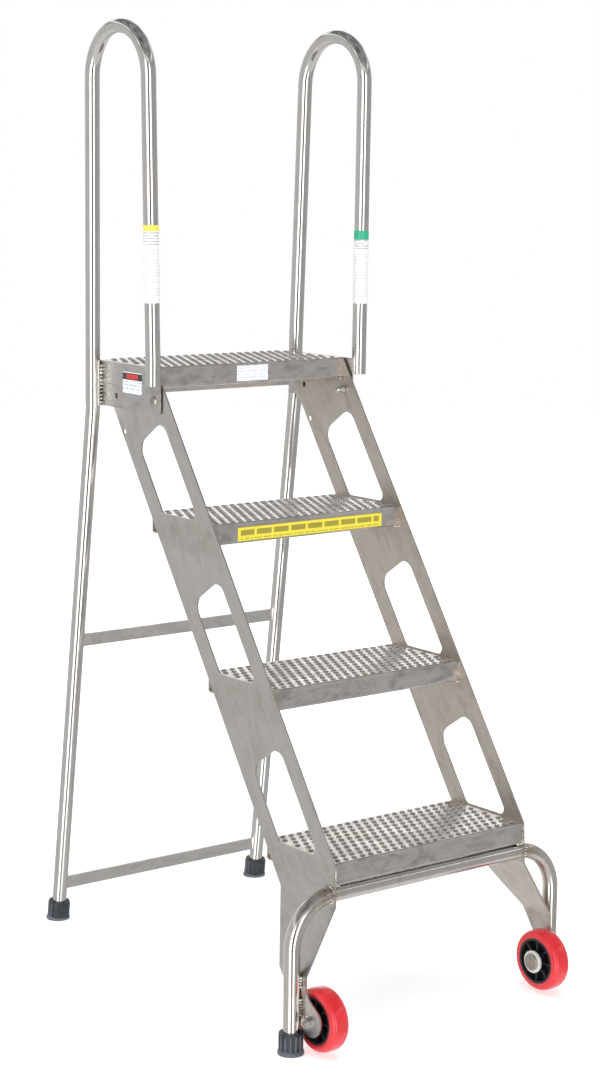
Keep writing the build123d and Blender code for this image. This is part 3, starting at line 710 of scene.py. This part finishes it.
def add_floor():
    bpy.ops.mesh.primitive_circle_add(
        vertices=FLOOR_PARTS, radius=FLOOR_SIZE, fill_type="NGON", location=(0, 0, -FLOOR_DROP))
    floor = bpy.context.object
    floor.name = "floor"
    material, tree, shader = new_material("pale_floor", Roughness=0.9, Specular_IOR_Level=0.1)
    shader.inputs["Emission Color"].default_value = (1, 1, 1, 1)
    reach = add(tree, "VectorMath", {0: add(tree, "TexCoord").outputs["Object"]}, operation="LENGTH")
    glow = spread(tree, reach.outputs["Value"], FLOOR_GLOW_REACH[0], FLOOR_GLOW_REACH[1], FLOOR_GLOW, 1.0)
    tree.links.new(glow, shader.inputs["Emission Strength"])
    tone = cloud(tree, place(tree), 3.0, 3.0, 0.5)
    tree.links.new(blend(tree, tone, (0.90, 0.90, 0.90), (0.93, 0.93, 0.93)), shader.inputs["Base Color"])
    floor.data.materials.append(material)
    floor.visible_glossy = False


def add_surroundings():
    """A plain studio round the stand, seen only in reflections: walls that carry two tall soft lights beside
    the camera, a dark, uneven ceiling with a strip of light round its edge, and a pale floor.
    The camera itself sees white behind the stand."""
    world = bpy.data.worlds.new("studio")
    bpy.context.scene.world = world
    world.use_nodes = True
    tree = world.node_tree
    direction = add(tree, "TexCoord").outputs["Generated"]
    angle = maths(tree, "ARCTAN2", axis(tree, "y", direction), axis(tree, "x", direction))
    share = maths(tree, "FRACT", maths(tree, "DIVIDE", angle, 2 * math.pi))
    ramp = add(tree, "ValToRGB", {"Fac": share})
    stops = ramp.color_ramp.elements
    for stop in stops:
        stop.color = rgb([WALL[0][1] / WALL_TOP] * 3)
    for degrees, value in WALL[1:-1]:
        stops.new(degrees / 360).color = rgb([value / WALL_TOP] * 3)
    wall = maths(tree, "MULTIPLY", ramp.outputs["Color"], WALL_TOP)
    height = axis(tree, "z", direction)
    up = spread(tree, height, *CEILING_EDGE)
    strip_light = maths(tree, "MULTIPLY", band(tree, height, *STRIP_HEIGHT, STRIP_SOFTNESS), STRIP_LIGHT)
    clutter = spread(tree, cloud(tree, direction, 5.0, 3.0, 0.5), 0.36, 0.64, 0.5, 1.8)
    ceiling = maths(tree, "MULTIPLY", maths(tree, "ADD", strip_light, CEILING), clutter)
    down = spread(tree, height, *FLOOR_EDGE, 1.0, 0.0)
    upper = add(tree, "Mix", {"Factor": up, "A": wall, "B": ceiling}).outputs["Result"]
    light = add(tree, "Mix", {"Factor": down, "A": upper, "B": FLOOR_SHADE}).outputs["Result"]
    studio = tree.nodes["Background"]
    tree.links.new(light, studio.inputs["Strength"])
    studio.inputs["Color"].default_value = (1, 0.995, 0.985, 1)
    backdrop = add(tree, "Background", {"Color": (1, 1, 1, 1), "Strength": 1.0})
    seen = add(tree, "LightPath").outputs["Is Camera Ray"]
    both = add(tree, "MixShader", {"Fac": seen})
    tree.links.new(studio.outputs[0], both.inputs[1])
    tree.links.new(backdrop.outputs[0], both.inputs[2])
    tree.links.new(both.outputs[0], tree.nodes["World Output"].inputs["Surface"])


def add_overhead_light():
    """Broad soft light above the stand, kept out of the reflections."""
    data = bpy.data.lights.new("overhead", "AREA")
    data.shape = "RECTANGLE"
    data.size, data.size_y = OVERHEAD_SIZE
    data.energy = OVERHEAD_POWER
    light = bpy.data.objects.new("overhead", data)
    light.location = OVERHEAD_PLACE
    aim = Vector(OVERHEAD_AIM) - Vector(OVERHEAD_PLACE)
    light.rotation_mode = "QUATERNION"
    light.rotation_quaternion = aim.to_track_quat("-Z", "Y")
    light.visible_glossy = False
    bpy.context.scene.collection.objects.link(light)


add_camera()
add_floor()
add_surroundings()
add_overhead_light()

slope = math.degrees(SLOPE)
left_plate_steel = steel(
    "left_plate", (0.735, 0.715, 0.69), (0.66, 0.64, 0.615), 0.34,
    turn=(slope, 0, 0), contrast=0.45, tint=plate_tint)
right_plate_steel = steel(
    "right_plate", (0.74, 0.685, 0.63), (0.65, 0.60, 0.545), 0.34,
    turn=(slope, 0, 0), contrast=0.6, tint=plate_tint)
bracket_steel = steel(
    "bracket_plate", (0.73, 0.71, 0.69), (0.63, 0.61, 0.585), 0.32,
    turn=(90, 0, 0), contrast=0.6)
bar_steel = steel(
    "bar_steel", (0.90, 0.88, 0.86), (0.78, 0.76, 0.74), 0.30,
    turn=(0, 90, 0), contrast=0.5)
tread_steel = steel(
    "tread_steel", (0.86, 0.825, 0.81), (0.71, 0.685, 0.67), 0.28,
    turn=(0, 90, 0), tint=end_tint)
rail_steel = steel(
    "rail_tube", (0.80, 0.79, 0.775), (0.72, 0.705, 0.69), 0.11,
    contrast=0.3, relief=0.006 * MM)
base_steel = steel(
    "base_tube", (0.83, 0.795, 0.76), (0.73, 0.695, 0.66), 0.17,
    contrast=0.4, relief=0.008 * MM, tint=base_tint)
weld_metal = weld_steel()
bright_metal = fastener("bright_fastener", (0.84, 0.83, 0.81), (0.62, 0.61, 0.59), 0.18)
dull_metal = fastener("dull_fastener", (0.60, 0.55, 0.50), (0.42, 0.38, 0.34), 0.28)
dark_metal = fastener("spring_wire", (0.50, 0.50, 0.51), (0.34, 0.34, 0.35), 0.30)
front_rubber = foot_rubber("front_foot_rubber", "right_front_foot", (0.0, 0.0))
rear_rubber = foot_rubber("rear_foot_rubber", "right_rear_foot", REAR_LEAN)
urethane = tread_rubber()
hub_plastic = plastic("hub_plastic", (0.030, 0.032, 0.036), (0.014, 0.015, 0.018), 0.30)
knob_plastic = plastic("knob_plastic", (0.03, 0.03, 0.03), (0.015, 0.015, 0.015), 0.22)
nylon = plastic("nylon", (0.84, 0.83, 0.80), (0.74, 0.73, 0.70), 0.36)

finishes = {
    "left_stringer": left_plate_steel,
    "right_stringer": right_plate_steel,
    "left_bracket": bracket_steel,
    "right_bracket": bracket_steel,
    "stop_bar": bar_steel,
    "mid_crossbar": bar_steel,
    "lower_crossbar": bar_steel,
    "left_handrail_tube": rail_steel,
    "right_handrail_tube": rail_steel,
    "base_tube": base_steel,
    "pivot_bolts": dull_metal,
    "pivot_spacers": bright_metal,
    "pivot_nuts": bright_metal,
    "lock_housing": bright_metal,
    "lock_pin": bright_metal,
    "lock_spring": dark_metal,
    "lock_knob": knob_plastic,
    "axle_bolts": dull_metal,
    "axle_washers": bright_metal,
    "axle_nuts": bright_metal,
    "wheel_spacers": nylon,
    "left_front_foot": front_rubber,
    "right_front_foot": front_rubber,
    "left_rear_foot": rear_rubber,
    "right_rear_foot": rear_rubber,
    "left_wheel_hub": hub_plastic,
    "right_wheel_hub": hub_plastic,
    "left_wheel_bush": nylon,
    "right_wheel_bush": nylon,
    "left_rail_label": rail_film("left_rail_film", "left_rail_label", (0.86, 0.78, 0.10), 0.010),
    "right_rail_label": rail_film("right_rail_film", "right_rail_label", (0.03, 0.42, 0.24), 0.016),
    "bracket_label": bracket_film(),
    "top_step_label": top_step_film(),
    "second_step_label": second_step_film(),
}
for name, material in finishes.items():
    nodes[name].data.materials.clear()
    nodes[name].data.materials.append(material)

for index in range(STEP_COUNT):
    step_mesh(index, tread_steel)
tyre("left_wheel", urethane)
tyre("right_wheel", urethane)
frame_beads(weld_metal)
ladder_beads(weld_metal)

bpy.context.scene.view_settings.view_transform = "Standard"
